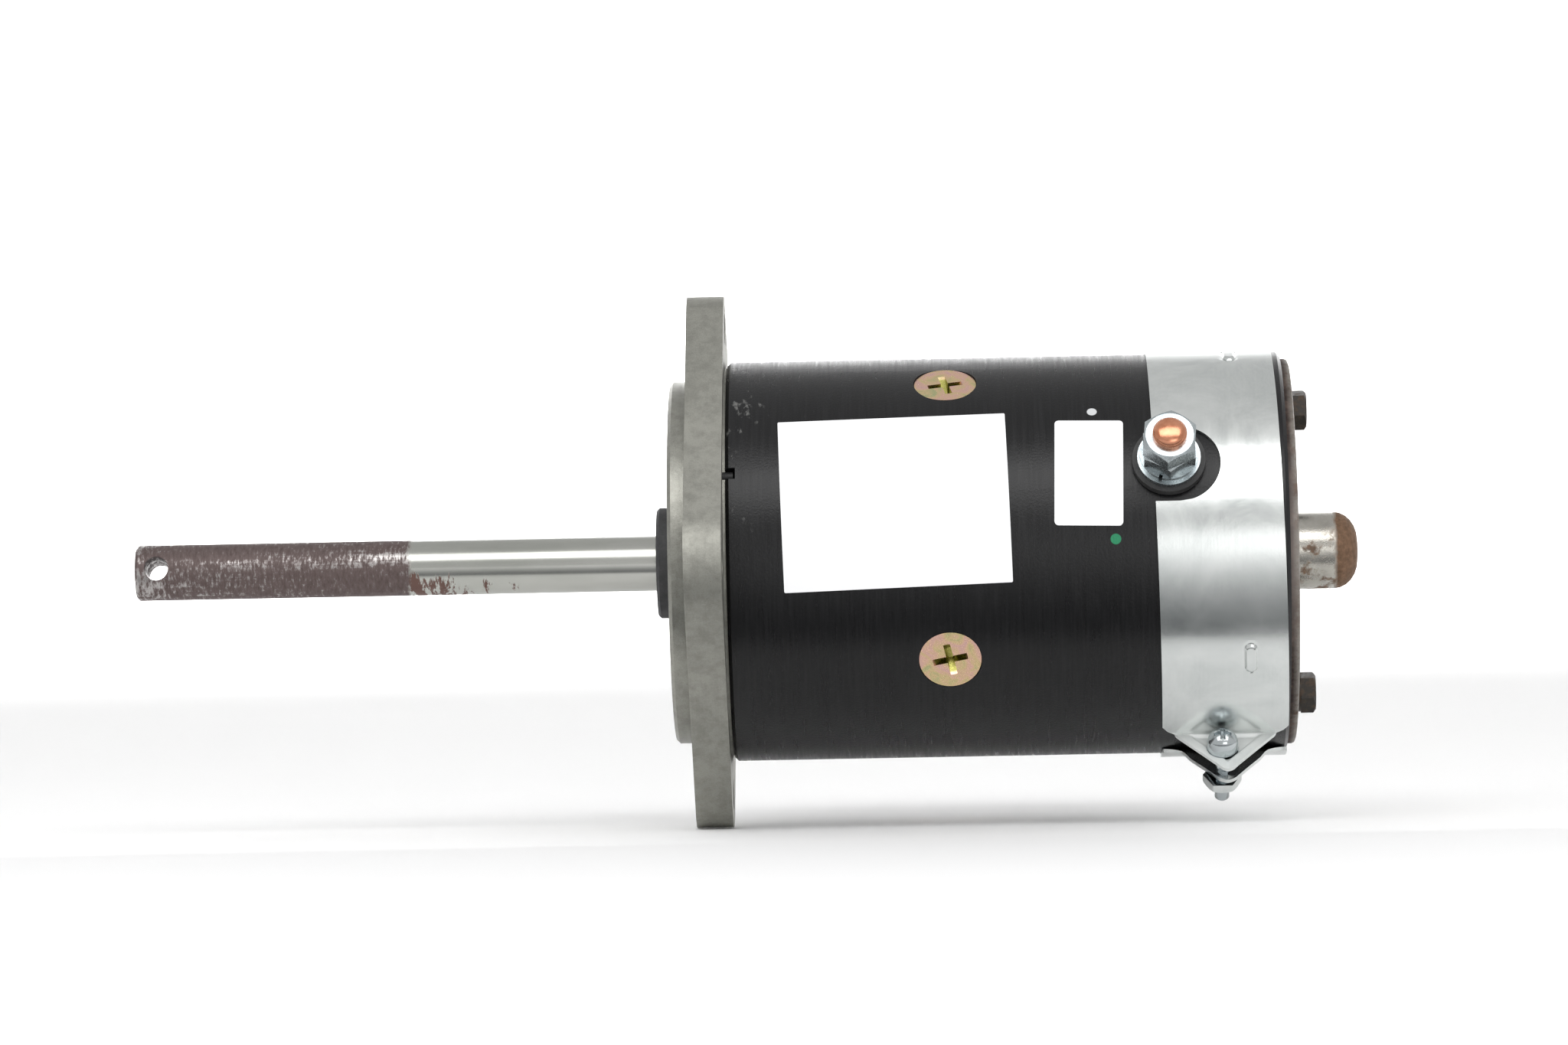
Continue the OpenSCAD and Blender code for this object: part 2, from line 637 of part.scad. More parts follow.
module band_cover() color([0.78, 0.8, 0.82]) difference() {
    union() {
        difference() {
            intersection() {
                ring(band_x0 - 3, band_x1 + 3, band_r1, band_r0);
                translate([band_x, 0, 0]) rotate([0, -band_skew, 0]) cube([band_w, 150, 150], center = true);
            }
            band_opening();
        }
        ear_frame(front_ear, front_ear_dir) linear_extrude(band_t) ear_outline(16, -0.6, front_ear_len);
        ear_frame(rear_ear, rear_ear_dir) linear_extrude(band_t) ear_outline(12.6, -1, rear_ear_len);
        for (b = beads) bead(b[0], b[1]);
    }
    terminal_slot();
    clamp_frame() translate([0, 0, -20]) cylinder(h = 40, r = clamp_r + 0.3);
}

// Local frame of the clamp screw, square to the front ear
module clamp_frame() ear_frame(front_ear, front_ear_dir) translate([0, ear_hole_t, 0]) children();

module band_screw() color([0.75, 0.78, 0.8]) clamp_frame() {
    difference() {
        translate([0, 0, band_t]) union() {
            cylinder(h = clamp_skirt, r = clamp_head_r);
            translate([0, 0, clamp_skirt]) cylinder(h = clamp_crown, r1 = clamp_head_r, r2 = clamp_top_r);
        }
        translate([0, 0, band_t + clamp_skirt + clamp_crown]) cross_recess(4, 2);
    }
    translate([0, 0, band_t - clamp_len]) cylinder(h = clamp_len, r = clamp_r);
}

module band_nut() color([0.7, 0.73, 0.75]) clamp_frame() translate([0, 0, clamp_nut_z]) rotate([180, 0, 0])
    difference() {
        hex_prism(inch * 3 / 8, clamp_nut_t);
        translate([0, 0, -1]) cylinder(h = 8, r = clamp_r + 0.01);
    }

// ---- Terminal ----

module terminal_stud() color([0.75, 0.42, 0.28]) radial(stud_x, stud_a) {
    translate([-stud_head / 2, -5, 44]) cube([stud_head, 10, 3]);
    translate([0, 0, 46]) cylinder(h = stud_tip_r - 47.4, r = stud_r);
    translate([0, 0, stud_tip_r - 1.4]) cylinder(h = 0.8, r1 = stud_r, r2 = stud_r - 0.7);
    translate([0, 0, stud_tip_r - 0.6]) cylinder(h = 0.6, r1 = stud_r - 0.7, r2 = stud_r - 2.2);
}

module terminal_bushing() color([0.2, 0.16, 0.13]) radial(stud_x, stud_a) difference() {
    union() {
        translate([0, 0, 47.1]) cylinder(h = 1.4, r = 9);
        translate([0, 0, 47.1]) cylinder(h = yoke_r - 47.1, r = stud_hole_r - 0.05);
    }
    translate([0, 0, 40]) cylinder(h = 30, r = stud_r + 0.1);
}

// Washer on the stud
module stud_washer(z, t, r) radial(stud_x, stud_a) difference() {
    translate([0, 0, z]) cylinder(h = t, r = r);
    translate([0, 0, z - 1]) cylinder(h = t + 2, r = stud_r + 0.1);
}

module terminal_insulator() color([0.12, 0.12, 0.12]) stud_washer(stud_hw[0], iso_t, 10.25);

module terminal_flat_washer() color([0.8, 0.82, 0.84]) stud_washer(flat_z, flat_t, 8.85);

module terminal_lock_washer() color([0.6, 0.64, 0.66]) difference() {
    stud_washer(lock_z, lock_t, 8.2);
    radial(stud_x, stud_a) rotate(-109) translate([0, -0.5, lock_z - 1]) cube([12, 1, 6]);
}

module terminal_nuts() color([0.7, 0.74, 0.76]) radial(stud_x, stud_a) for (n = [[jam_z, 31], [nut_z, 25]])
    difference() {
        translate([0, 0, n[0]]) rotate(n[1]) hex_prism(nut_af, nut_t);
        translate([0, 0, n[0] - 1]) cylinder(h = nut_t + 2, r = stud_r + 0.02);
    }

// ---- Labels ----

// Thin sheet on the yoke, turned a little in its own plane
module label(place) {
    width = place[1] - place[0];
    height = 2 * yoke_r * sin((place[3] - place[2]) / 2);
    intersection() {
        ring(place[0] - 5, place[1] + 5, yoke_r + 0.01 + label_t, yoke_r + 0.01);
        radial(place[0] + width / 2, (place[2] + place[3]) / 2) rotate(place[5])
            linear_extrude(60) rounded(width, height, place[4]);
    }
}

module rating_label() color([0.97, 0.97, 0.97]) label(rating);

module serial_label() color([0.97, 0.97, 0.97]) label(serial);

// ---- Assembly ----

yoke();
drive_end_head();
bearing_outer_ring();
bearing_inner_ring();
bearing_balls();
bearing_cage();
bearing_shields();
bearing_retaining_ring();
shaft_retaining_ring();
shaft_seal();
field_jumpers();
pole_screws();
shaft();
armature_core();
armature_winding();
commutator_bars();
commutator_hub();
thrust_washer();
rear_bushing();
commutator_end_head();
brush_plate();
brush_plate_screws();
band_cover();
band_screw();
band_nut();
terminal_stud();
terminal_bushing();
terminal_insulator();
terminal_flat_washer();
terminal_lock_washer();
terminal_nuts();
through_bolts();
through_bolt_washers();
locating_pin();
rating_label();
serial_label();
for (i = [0:3]) {
    pole_shoe(pole_a[i]);
    field_coil(pole_a[i]);
    brush_holder(pole_a[i]);
    brush(pole_a[i]);
    brush_spring(pole_a[i]);
    brush_lead(pole_a[i]);
}
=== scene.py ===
"""Looks for a flange-mounted direct-current motor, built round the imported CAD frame."""
import json
import math

import bmesh
import bpy
from mathutils import Matrix, Vector


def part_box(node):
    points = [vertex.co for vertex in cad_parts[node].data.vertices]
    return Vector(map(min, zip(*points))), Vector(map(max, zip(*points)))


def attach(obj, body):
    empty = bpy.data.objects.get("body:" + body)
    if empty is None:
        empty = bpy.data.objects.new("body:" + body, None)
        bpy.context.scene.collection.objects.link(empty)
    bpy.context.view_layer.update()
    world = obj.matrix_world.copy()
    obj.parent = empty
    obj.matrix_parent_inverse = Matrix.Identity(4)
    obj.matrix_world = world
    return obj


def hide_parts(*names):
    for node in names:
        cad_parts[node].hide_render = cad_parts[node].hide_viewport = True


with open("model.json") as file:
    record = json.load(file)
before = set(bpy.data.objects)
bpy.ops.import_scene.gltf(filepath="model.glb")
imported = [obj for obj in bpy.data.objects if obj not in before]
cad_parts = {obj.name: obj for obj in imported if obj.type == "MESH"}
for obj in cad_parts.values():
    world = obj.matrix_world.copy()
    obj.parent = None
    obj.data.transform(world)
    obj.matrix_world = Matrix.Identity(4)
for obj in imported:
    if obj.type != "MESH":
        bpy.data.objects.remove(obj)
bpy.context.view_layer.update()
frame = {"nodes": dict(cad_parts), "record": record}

nodes = frame["nodes"]
scene = bpy.context.scene
mm = 0.001


# ---- Places, worked out from the frame; the clamp ears' roots and slopes are given numbers ----

def radius(node):
    """Largest distance of a node's points from the shaft axis."""
    return max(math.hypot(v.co.y, v.co.z) for v in nodes[node].data.vertices)


def around(angle, r=1.0):
    """Point at an angle round the axis, measured from -Y towards +Z."""
    return Vector((0.0, -r * math.cos(angle), r * math.sin(angle)))


def middle(node):
    lo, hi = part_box(node)
    return (lo + hi) / 2


def angle_of(point):
    return math.atan2(point.z, -point.y)


yoke_lo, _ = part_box("yoke")
band_lo, band_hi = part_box("band_cover")
shaft_lo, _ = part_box("shaft")
head_lo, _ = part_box("drive_end_head")
end_lo, end_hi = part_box("commutator_end_head")
yoke_r = radius("yoke")
end_r = radius("commutator_end_head")
stud_a = angle_of(middle("terminal_insulator"))
stud_x = middle("terminal_insulator").x
band_mid = (band_lo.x + band_hi.x) / 2
SHEET = 1.0 * mm
BAND_R = yoke_r + 0.2 * mm + SHEET
FRONT_ROOT = (-27.0, -51.2)     # where the front ear leaves the band, (Y, Z) in millimetres
FRONT_TILT = 39.8               # slope of the front ear, in degrees
REAR_ROOT = (-16.35, -56.8)
REAR_TILT = 24.0
EAR_ROOT = Vector((band_mid, FRONT_ROOT[0] * mm, FRONT_ROOT[1] * mm))
EAR_OUT = Vector((0.0, -math.cos(math.radians(FRONT_TILT)), -math.sin(math.radians(FRONT_TILT))))
EAR_UP = Vector((0.0, EAR_OUT.z, -EAR_OUT.y))
EAR_HOLE = EAR_ROOT + EAR_OUT * 6.9 * mm


# ---- Node-tree builder ----

class Shade:
    """Builds one material; every method takes numbers or sockets and returns an output socket."""

    def __init__(self, name):
        self.material = bpy.data.materials.new(name)
        self.material.use_nodes = True
        self.tree = self.material.node_tree
        self.shader = self.tree.nodes["Principled BSDF"]
        self.point = self.tree.nodes.new("ShaderNodeTexCoord").outputs["Object"]
        split = self.node("ShaderNodeSeparateXYZ", {0: self.point})
        self.x, self.y, self.z = split.outputs

    def node(self, kind, inputs=(), **settings):
        made = self.tree.nodes.new(kind)
        for key, value in settings.items():
            setattr(made, key, value)
        for key, value in dict(inputs).items():
            self.feed(made.inputs[key], value)
        return made

    def feed(self, socket, value):
        if isinstance(value, bpy.types.NodeSocket):
            self.tree.links.new(value, socket)
        elif isinstance(value, (tuple, list)) and socket.type == "RGBA":
            socket.default_value = (*value, 1.0)[:4]
        else:
            socket.default_value = value

    def set(self, **values):
        for key, value in values.items():
            self.feed(self.shader.inputs[key.replace("_", " ").title().replace("Ior", "IOR")], value)

    def calc(self, op, a, b=0.0):
        return self.node("ShaderNodeMath", {0: a, 1: b}, operation=op).outputs[0]

    def stretch(self, scale):
        return self.node("ShaderNodeMapping", {"Vector": self.point, "Scale": scale}).outputs[0]

    def noise(self, scale, detail=4.0, rough=0.55, stretch=(1, 1, 1), distortion=0.0):
        made = self.node("ShaderNodeTexNoise", {
            "Vector": self.stretch(stretch), "Scale": scale, "Detail": detail, "Roughness": rough,
            "Distortion": distortion})
        return made.outputs["Fac"]

    def cells(self, scale):
        return self.node("ShaderNodeTexVoronoi", {"Vector": self.point, "Scale": scale}).outputs["Distance"]

    def spread(self, value, low, high, to_low=0.0, to_high=1.0):
        """Straight-line map from low..high to to_low..to_high, held at both ends."""
        made = self.node("ShaderNodeMapRange", {0: value, 1: low, 2: high, 3: to_low, 4: to_high}, clamp=True)
        return made.outputs[0]

    def mix(self, fac, a, b):
        return self.node("ShaderNodeMix", {"Factor": fac, 6: a, 7: b}, data_type="RGBA").outputs[2]

    def ramp(self, fac, *stops):
        made = self.node("ShaderNodeValToRGB", {"Fac": fac})
        line = made.color_ramp
        while len(line.elements) < len(stops):
            line.elements.new(0.5)
        for element, (place, colour) in zip(line.elements, stops):
            element.position = place
            element.color = (*colour, 1.0)
        return made.outputs["Color"]

    def both(self, a, b):
        return self.calc("MULTIPLY", a, b)

    def either(self, a, b):
        return self.calc("MAXIMUM", a, b)

    def angle(self):
        """Angle round the axis, from -Y towards +Z, in radians."""
        return self.calc("ARCTAN2", self.z, self.calc("MULTIPLY", self.y, -1.0))

    def radius(self):
        """Distance from the shaft axis."""
        return self.calc("SQRT", self.calc("ADD", self.both(self.y, self.y), self.both(self.z, self.z)))

    def above(self, point, way):
        """Distance from a point along a direction in the YZ plane."""
        return self.calc("ADD", self.both(self.calc("SUBTRACT", self.y, point.y), way.y),
                         self.both(self.calc("SUBTRACT", self.z, point.z), way.z))

    def spot(self, x, degrees, size):
        """Mask of a round dab of paint on the yoke's outside."""
        across = self.calc("SUBTRACT", self.x, x)
        round_it = self.both(self.calc("SUBTRACT", self.angle(), math.radians(degrees)), yoke_r)
        far = self.calc("SQRT", self.calc("ADD", self.both(across, across), self.both(round_it, round_it)))
        return self.spread(far, size * 1.06, size * 0.92)

    def bump(self, height, strength, distance):
        made = self.node("ShaderNodeBump", {"Height": height, "Strength": strength, "Distance": distance})
        previous = self.shader.inputs["Normal"].links
        if previous:
            self.tree.links.new(previous[0].from_socket, made.inputs["Normal"])
        self.tree.links.new(made.outputs["Normal"], self.shader.inputs["Normal"])
        return self


# ---- Materials ----

def black_paint():
    """Satin black paint over a turned tube: fine rings, orange peel, scuffs, and two dabs of marking paint."""
    s = Shade("black_paint")
    rings = s.noise(1100, 4, 0.6, (1, 0.05, 0.05))
    peel = s.noise(1500, 3, 0.6)
    cloud = s.noise(28, 4, 0.6)
    paler_zone = s.spread(s.both(s.noise(420, 5, 0.65, (1, 0.5, 0.5)), s.noise(60, 3)), 0.33, 0.39)
    near = s.both(s.spread(s.x, yoke_lo.x + 26 * mm, yoke_lo.x + 4 * mm), s.spread(s.z, 0.0, 20 * mm))
    scuff = s.both(paler_zone, near)
    base = s.mix(cloud, (0.0022, 0.0022, 0.0028), (0.0055, 0.0055, 0.0062))
    base = s.mix(s.spread(rings, 0.45, 0.7, 0.0, 0.5), base, (0.011, 0.011, 0.012))
    base = s.mix(scuff, base, (0.14, 0.14, 0.135))
    base = s.mix(s.spot(114.6 * mm, 45.0, 1.4 * mm), base, (0.62, 0.63, 0.64))
    base = s.mix(s.spot(120.3 * mm, 4.6, 1.5 * mm), base, (0.015, 0.21, 0.095))
    s.set(base_color=base, specular_ior_level=0.34)
    s.set(roughness=s.calc("ADD", s.spread(rings, 0.3, 0.7, 0.22, 0.34), s.both(cloud, 0.06)))
    return s.bump(s.calc("ADD", s.both(rings, 0.4), s.both(peel, 1.1)), 0.4, 0.00014).material


def cast_aluminium():
    """Machined aluminium casting: mottled, with fine grain and pits, smoother on the turned pilot."""
    s = Shade("cast_aluminium")
    grain = s.noise(2600, 3, 0.7)
    brush = s.noise(900, 4, 0.6, (1, 0.05, 0.05))
    cloud = s.noise(22, 5, 0.6)
    pits = s.spread(s.cells(900), 0.0, 0.16, 1.0, 0.0)
    base = s.ramp(cloud, (0.3, (0.27, 0.27, 0.24)), (0.7, (0.36, 0.357, 0.32)))
    base = s.mix(s.spread(grain, 0.35, 0.7, 0.0, 0.45), base, (0.44, 0.435, 0.395))
    mottle = s.spread(s.noise(230, 6, 0.72), 0.42, 0.62)
    base = s.mix(s.both(mottle, 0.38), base, (0.17, 0.168, 0.15))
    base = s.mix(s.both(pits, 0.5), base, (0.12, 0.117, 0.105))
    turned = s.spread(s.x, 0.5 * mm, -0.5 * mm)
    rough = s.spread(s.calc("ADD", grain, brush), 0.6, 1.4, 0.42, 0.62)
    s.set(base_color=base, metallic=0.85, roughness=s.calc("SUBTRACT", rough, s.both(turned, 0.16)))
    relief = s.calc("ADD", s.both(grain, 0.6), s.both(brush, 0.5))
    return s.bump(s.calc("ADD", relief, s.both(s.noise(420, 5, 0.7), 1.2)), 0.4, 0.0002).material


# Share of the shaft's reach at which its mill scale starts
SCALE_FROM = 0.507


def shaft_steel():
    """Ground steel near the motor, dark mill scale with bright streaks on the free half, rust between, with
    more bright streaks in a band just above the axis as painted highlight.
    """
    s = Shade("shaft_steel")
    half = shaft_lo.x * SCALE_FROM
    wander = s.both(s.calc("SUBTRACT", s.noise(160, 4), 0.5), 5 * mm)
    scaled = s.spread(s.calc("ADD", s.x, wander), half + 0.5 * mm, half - 0.5 * mm)
    streaks = s.noise(260, 5, 0.7, (0.07, 1, 1))
    fleck = s.noise(1100, 5, 0.7, (1, 0.35, 0.35))
    low = s.spread(s.z, 0, -5 * mm, 0.72, 1)
    rust_end = s.spread(s.x, half + 32 * mm, half)
    thin = s.both(s.calc("SUBTRACT", 1.0, rust_end), 0.16)
    rust_bits = s.both(s.noise(420, 6, 0.72, (1, 0.3, 0.3)), low)
    rust = s.both(s.spread(s.calc("SUBTRACT", rust_bits, thin), 0.45, 0.5), s.spread(rust_end, 0, 0.05))
    # Painted highlight: more bright flecks in a band from 1 mm below the axis to 5 mm above it.
    painted_glint = s.both(s.spread(s.z, -1 * mm, 1.5 * mm), s.spread(s.z, 5 * mm, 3 * mm))
    tip = s.spread(s.x, shaft_lo.x + 11 * mm, shaft_lo.x + 2 * mm)
    bare = s.calc("ADD", s.both(streaks, 0.45), s.both(fleck, 0.6))
    # Bright flecks of bare steel, with more of them at the free end and in the painted highlight band.
    bright = s.spread(s.calc("ADD", bare, s.both(s.either(painted_glint, tip), 0.07)), 0.57, 0.67)
    steel = s.ramp(s.noise(40, 5, 0.6, (0.3, 1, 1)), (0.3, (0.40, 0.41, 0.375)), (0.7, (0.56, 0.56, 0.53)))
    scale = s.ramp(fleck, (0.3, (0.085, 0.06, 0.056)), (0.75, (0.17, 0.13, 0.125)))
    scale = s.mix(bright, scale, (0.42, 0.4, 0.39))
    top = s.mix(rust, steel, (0.15, 0.085, 0.07))
    dull = s.both(scaled, s.calc("SUBTRACT", 1.0, s.both(bright, 0.85)))
    s.set(base_color=s.mix(scaled, top, scale), metallic=s.spread(s.either(dull, rust), 0, 1, 1.0, 0.45))
    s.set(roughness=s.spread(s.calc("ADD", s.either(dull, rust), s.both(streaks, 0.25)), 0.0, 1.1, 0.16, 0.6))
    ground = s.noise(3000, 2, 0.5, (1, 0.05, 0.05))
    return s.bump(s.calc("ADD", s.both(ground, 0.4), s.both(s.either(dull, rust), fleck)), 0.3, 0.0001).material


def bright_zinc():
    """Bright zinc plate on rolled strip: cloudy, finely grained, dull on the front ear, darker on the screw."""
    s = Shade("bright_zinc")
    lines = s.noise(1300, 4, 0.6, (1, 0.03, 0.03))
    grain = s.noise(2400, 3, 0.6)
    cloud = s.noise(45, 6, 0.65, distortion=0.8)
    aside, ahead = s.calc("SUBTRACT", s.x, EAR_HOLE.x), s.above(EAR_HOLE, EAR_OUT)
    off_screw = s.calc("SQRT", s.calc("ADD", s.both(aside, aside), s.both(ahead, ahead)))
    clear = s.spread(s.radius(), BAND_R + 0.2 * mm, BAND_R + 0.5 * mm)
    screw = s.both(s.spread(off_screw, 4.7 * mm, 4.5 * mm), clear)
    ear = s.both(s.spread(s.z, -50.5 * mm, -52.5 * mm), s.spread(s.above(EAR_ROOT, EAR_UP), -2.6 * mm, -2 * mm))
    ear = s.both(ear, s.calc("SUBTRACT", 1.0, screw))
    base = s.ramp(cloud, (0.28, (0.56, 0.59, 0.58)), (0.72, (0.78, 0.80, 0.785)))
    base = s.mix(s.spread(lines, 0.4, 0.65, 0.0, 0.1), base, (0.8, 0.82, 0.81))
    base = s.mix(s.spread(grain, 0.4, 0.7, 0.0, 0.2), base, (0.78, 0.8, 0.8))
    base = s.mix(s.both(screw, 0.6), base, (0.42, 0.47, 0.5))
    s.set(base_color=base, metallic=s.spread(ear, 0, 1, 1.0, 0.35))
    rough = s.calc("ADD", s.spread(cloud, 0.3, 0.7, 0.18, 0.27), s.both(ear, 0.22))
    s.set(roughness=s.calc("SUBTRACT", rough, s.both(screw, 0.1)))
    return s.bump(s.calc("ADD", s.both(lines, 0.3), s.both(grain, 0.5)), 0.12, 0.0001).material


def zinc_hardware():
    """Bluish zinc plate on turned and rolled hardware."""
    s = Shade("zinc_hardware")
    cloud = s.noise(260, 5, 0.65)
    grain = s.noise(2200, 3, 0.6)
    base = s.ramp(cloud, (0.3, (0.33, 0.37, 0.39)), (0.7, (0.60, 0.65, 0.66)))
    s.set(base_color=base, metallic=1.0, roughness=s.spread(grain, 0.3, 0.7, 0.2, 0.36))
    return s.bump(grain, 0.25, 0.00006).material


def yellow_zinc():
    """Yellow chromate zinc, with the film's pink and green tints; olive down in the screws' recesses."""
    s = Shade("yellow_zinc")
    cloud = s.noise(150, 4, 0.6, distortion=1.5)
    grain = s.noise(2400, 3, 0.6)
    base = s.ramp(cloud, (0.28, (0.50, 0.50, 0.26)), (0.42, (0.72, 0.55, 0.30)),
                  (0.55, (0.78, 0.50, 0.38)), (0.7, (0.72, 0.46, 0.42)))
    r = s.radius()
    base = s.mix(s.spread(r, yoke_r - 0.9 * mm, yoke_r - 1.3 * mm), base, (0.40, 0.38, 0.11))
    s.set(base_color=base, metallic=1.0, roughness=s.spread(grain, 0.3, 0.7, 0.22, 0.36))
    return s.bump(s.calc("ADD", grain, cloud), 0.2, 0.00006).material


def rusty_steel():
    """Bare stamped steel: dark plate edge, brown rust by its rim and on the cup's nose, clean metal between."""
    s = Shade("rusty_steel")
    plate = s.spread(s.x, end_lo.x + 7 * mm, end_lo.x + 3 * mm)
    ragged = s.calc("ADD", s.x, s.both(s.noise(300, 4), 2 * mm))
    nose = s.spread(ragged, end_hi.x - 6.2 * mm, end_hi.x - 5.0 * mm)
    patch = s.spread(s.noise(190, 6, 0.7), 0.50, 0.60)
    speck = s.spread(s.noise(900, 4, 0.7), 0.56, 0.62)
    r = s.radius()
    rim = s.spread(r, end_r - 6 * mm, end_r - 1 * mm, 0.1, 0.75)
    where = s.either(s.both(plate, rim), nose)
    rust = s.either(nose, s.both(s.either(patch, s.both(speck, 0.7)), where))
    rust = s.either(rust, s.both(s.both(patch, 0.9), s.spread(s.noise(60, 3), 0.5, 0.56)))
    steel = s.ramp(s.noise(80, 5, 0.6), (0.3, (0.36, 0.345, 0.31)), (0.7, (0.58, 0.56, 0.51)))
    brown = s.ramp(s.noise(700, 5, 0.7), (0.3, (0.10, 0.056, 0.03)), (0.7, (0.23, 0.13, 0.075)))
    edge = s.both(plate, s.spread(r, end_r - 2.4 * mm, end_r - 1 * mm))
    # Paler towards mid-height on the dark plate edge: half way to grey within 8 mm of the axis height, fading
    # out by 34 mm above and below.
    paler_zone = s.both(s.spread(s.calc("ABSOLUTE", s.z), 34 * mm, 8 * mm), 0.5)
    dark = s.ramp(s.noise(260, 5, 0.7), (0.42, (0.028, 0.016, 0.012)), (0.62, (0.085, 0.058, 0.047)))
    dark = s.mix(paler_zone, dark, (0.26, 0.225, 0.205))
    colour = s.mix(edge, s.mix(rust, steel, brown), dark)
    s.set(base_color=colour, metallic=s.spread(s.either(rust, edge), 0, 1, 1.0, 0.15))
    s.set(roughness=s.spread(s.either(rust, edge), 0, 1, 0.24, 0.75))
    return s.bump(s.calc("ADD", s.both(rust, s.noise(1600, 4, 0.7)), s.noise(2500, 2)), 0.3, 0.00012).material


def dark_bolt_steel():
    """Oiled black bolts with light rust."""
    s = Shade("dark_bolt_steel")
    patch = s.spread(s.noise(420, 5, 0.7), 0.46, 0.62)
    base = s.mix(patch, (0.026, 0.022, 0.018), (0.07, 0.048, 0.033))
    s.set(base_color=base, metallic=0.5, roughness=s.spread(patch, 0, 1, 0.38, 0.62))
    return s.bump(s.noise(1800, 4, 0.7), 0.3, 0.0001).material


def copper():
    """Plain copper, a little tarnished."""
    s = Shade("copper")
    cloud = s.noise(240, 4, 0.6)
    base = s.ramp(cloud, (0.3, (0.56, 0.22, 0.12)), (0.7, (0.80, 0.38, 0.24)))
    s.set(base_color=base, metallic=1.0, roughness=s.spread(cloud, 0.3, 0.7, 0.16, 0.3))
    return s.bump(s.noise(2200, 3, 0.6), 0.2, 0.00006).material


def matt(name, dark, light, rough, metallic=0.0):
    """Plain stock with a cloudy colour and a fine grain."""
    s = Shade(name)
    cloud = s.noise(300, 4, 0.6)
    fine = s.noise(1800, 3, 0.6)
    tone = s.calc("ADD", s.both(cloud, 0.6), s.both(fine, 0.4))
    s.set(base_color=s.mix(s.spread(tone, 0.35, 0.65), dark, light))
    s.set(metallic=metallic, roughness=s.spread(fine, 0.3, 0.7, rough - 0.08, rough + 0.08))
    return s.bump(fine, 0.25, 0.00008).material


def bearing_steel():
    """Ground bearing steel; the locating pin at the yoke's rim is the same steel, blackened."""
    s = Shade("bearing_steel")
    fine = s.noise(1800, 3, 0.6)
    black = s.spread(s.radius(), 44 * mm, 46 * mm)
    base = s.mix(s.spread(fine, 0.35, 0.65), (0.55, 0.56, 0.58), (0.68, 0.69, 0.7))
    s.set(base_color=s.mix(black, base, (0.02, 0.02, 0.021)), metallic=s.spread(black, 0, 1, 1.0, 0.3))
    s.set(roughness=s.calc("ADD", s.spread(fine, 0.3, 0.7, 0.12, 0.28), s.both(black, 0.3)))
    return s.bump(fine, 0.25, 0.00008).material


def white_label():
    """Blank white label stock, faintly mottled."""
    s = Shade("white_label")
    cloud = s.noise(70, 3, 0.5)
    fibre = s.noise(1800, 3, 0.6)
    s.set(base_color=s.mix(cloud, (0.86, 0.865, 0.88), (0.94, 0.942, 0.95)))
    s.set(roughness=s.spread(fibre, 0.3, 0.7, 0.36, 0.5), coat_weight=0.15)
    return s.bump(fibre, 0.08, 0.00004).material


MATERIALS = {
    "black_paint": black_paint(),
    "cast_aluminium": cast_aluminium(),
    "shaft_steel": shaft_steel(),
    "bright_zinc": bright_zinc(),
    "zinc_hardware": zinc_hardware(),
    "yellow_zinc": yellow_zinc(),
    "rusty_steel": rusty_steel(),
    "dark_bolt_steel": dark_bolt_steel(),
    "copper": copper(),
    "white_label": white_label(),
    "seal_rubber": matt("seal_rubber", (0.028, 0.028, 0.03), (0.06, 0.06, 0.062), 0.6),
    "black_insulator": matt("black_insulator", (0.018, 0.018, 0.018), (0.04, 0.04, 0.04), 0.55),
    "bearing_steel": bearing_steel(),
    "cage_brass": matt("cage_brass", (0.5, 0.36, 0.15), (0.64, 0.48, 0.22), 0.32, metallic=1.0),
    "spring_steel": matt("spring_steel", (0.16, 0.16, 0.18), (0.26, 0.26, 0.29), 0.34, metallic=1.0),
    "lamination_steel": matt("lamination_steel", (0.14, 0.14, 0.15), (0.26, 0.26, 0.27), 0.5, metallic=0.9),
    "winding_copper": matt("winding_copper", (0.32, 0.12, 0.05), (0.55, 0.24, 0.11), 0.35, metallic=0.8),
    "phenolic": matt("phenolic", (0.08, 0.045, 0.025), (0.14, 0.08, 0.045), 0.45),
    "bronze": matt("bronze", (0.42, 0.27, 0.12), (0.56, 0.38, 0.18), 0.42, metallic=1.0),
    "coil_tape": matt("coil_tape", (0.2, 0.1, 0.045), (0.36, 0.2, 0.1), 0.7),
    "holder_brass": matt("holder_brass", (0.5, 0.36, 0.15), (0.62, 0.47, 0.22), 0.36, metallic=1.0),
    "carbon": matt("carbon", (0.03, 0.03, 0.032), (0.06, 0.058, 0.058), 0.55),
}

slots_of = {row["node"]: row["material_slot"] for row in frame["record"]["subparts"]}
for name, piece in nodes.items():
    piece.data.materials.clear()
    piece.data.materials.append(MATERIALS[slots_of[name]])


# ---- Cover band ----

BAND_HALF = 17.8 * mm
SKEW = math.tan(math.radians(1.2))
SLOT_R = 11.7 * mm
SLOT_A = math.radians(26.4)
SLOT_COLUMN = -10.8 * mm
EMBOSS = 0.7 * mm

# Half width of the sheet at distances out along an ear, in millimetres
FRONT_OUTLINE = [(-1.6, 17.8), (-0.6, 16.6), (1.2, 14.2), (7.8, 8.2), (13.6, 3.0), (15.0, 1.9),
                 (15.7, 1.1), (16.0, 0.2)]
REAR_OUTLINE = [(-2.4, 17.8), (-1.2, 16.2), (-0.2, 14.0), (0.8, 12.3), (4.2, 9.7), (9.9, 6.2), (15.0, 3.2),
                (16.4, 2.4), (17.4, 1.4), (18.0, 0.2)]
SHARP_EDGE = 50                 # faces that meet at more than this are not smoothed together, in degrees
EAR_STEP = 0.45                 # spacing of rows out along an ear, in millimetres
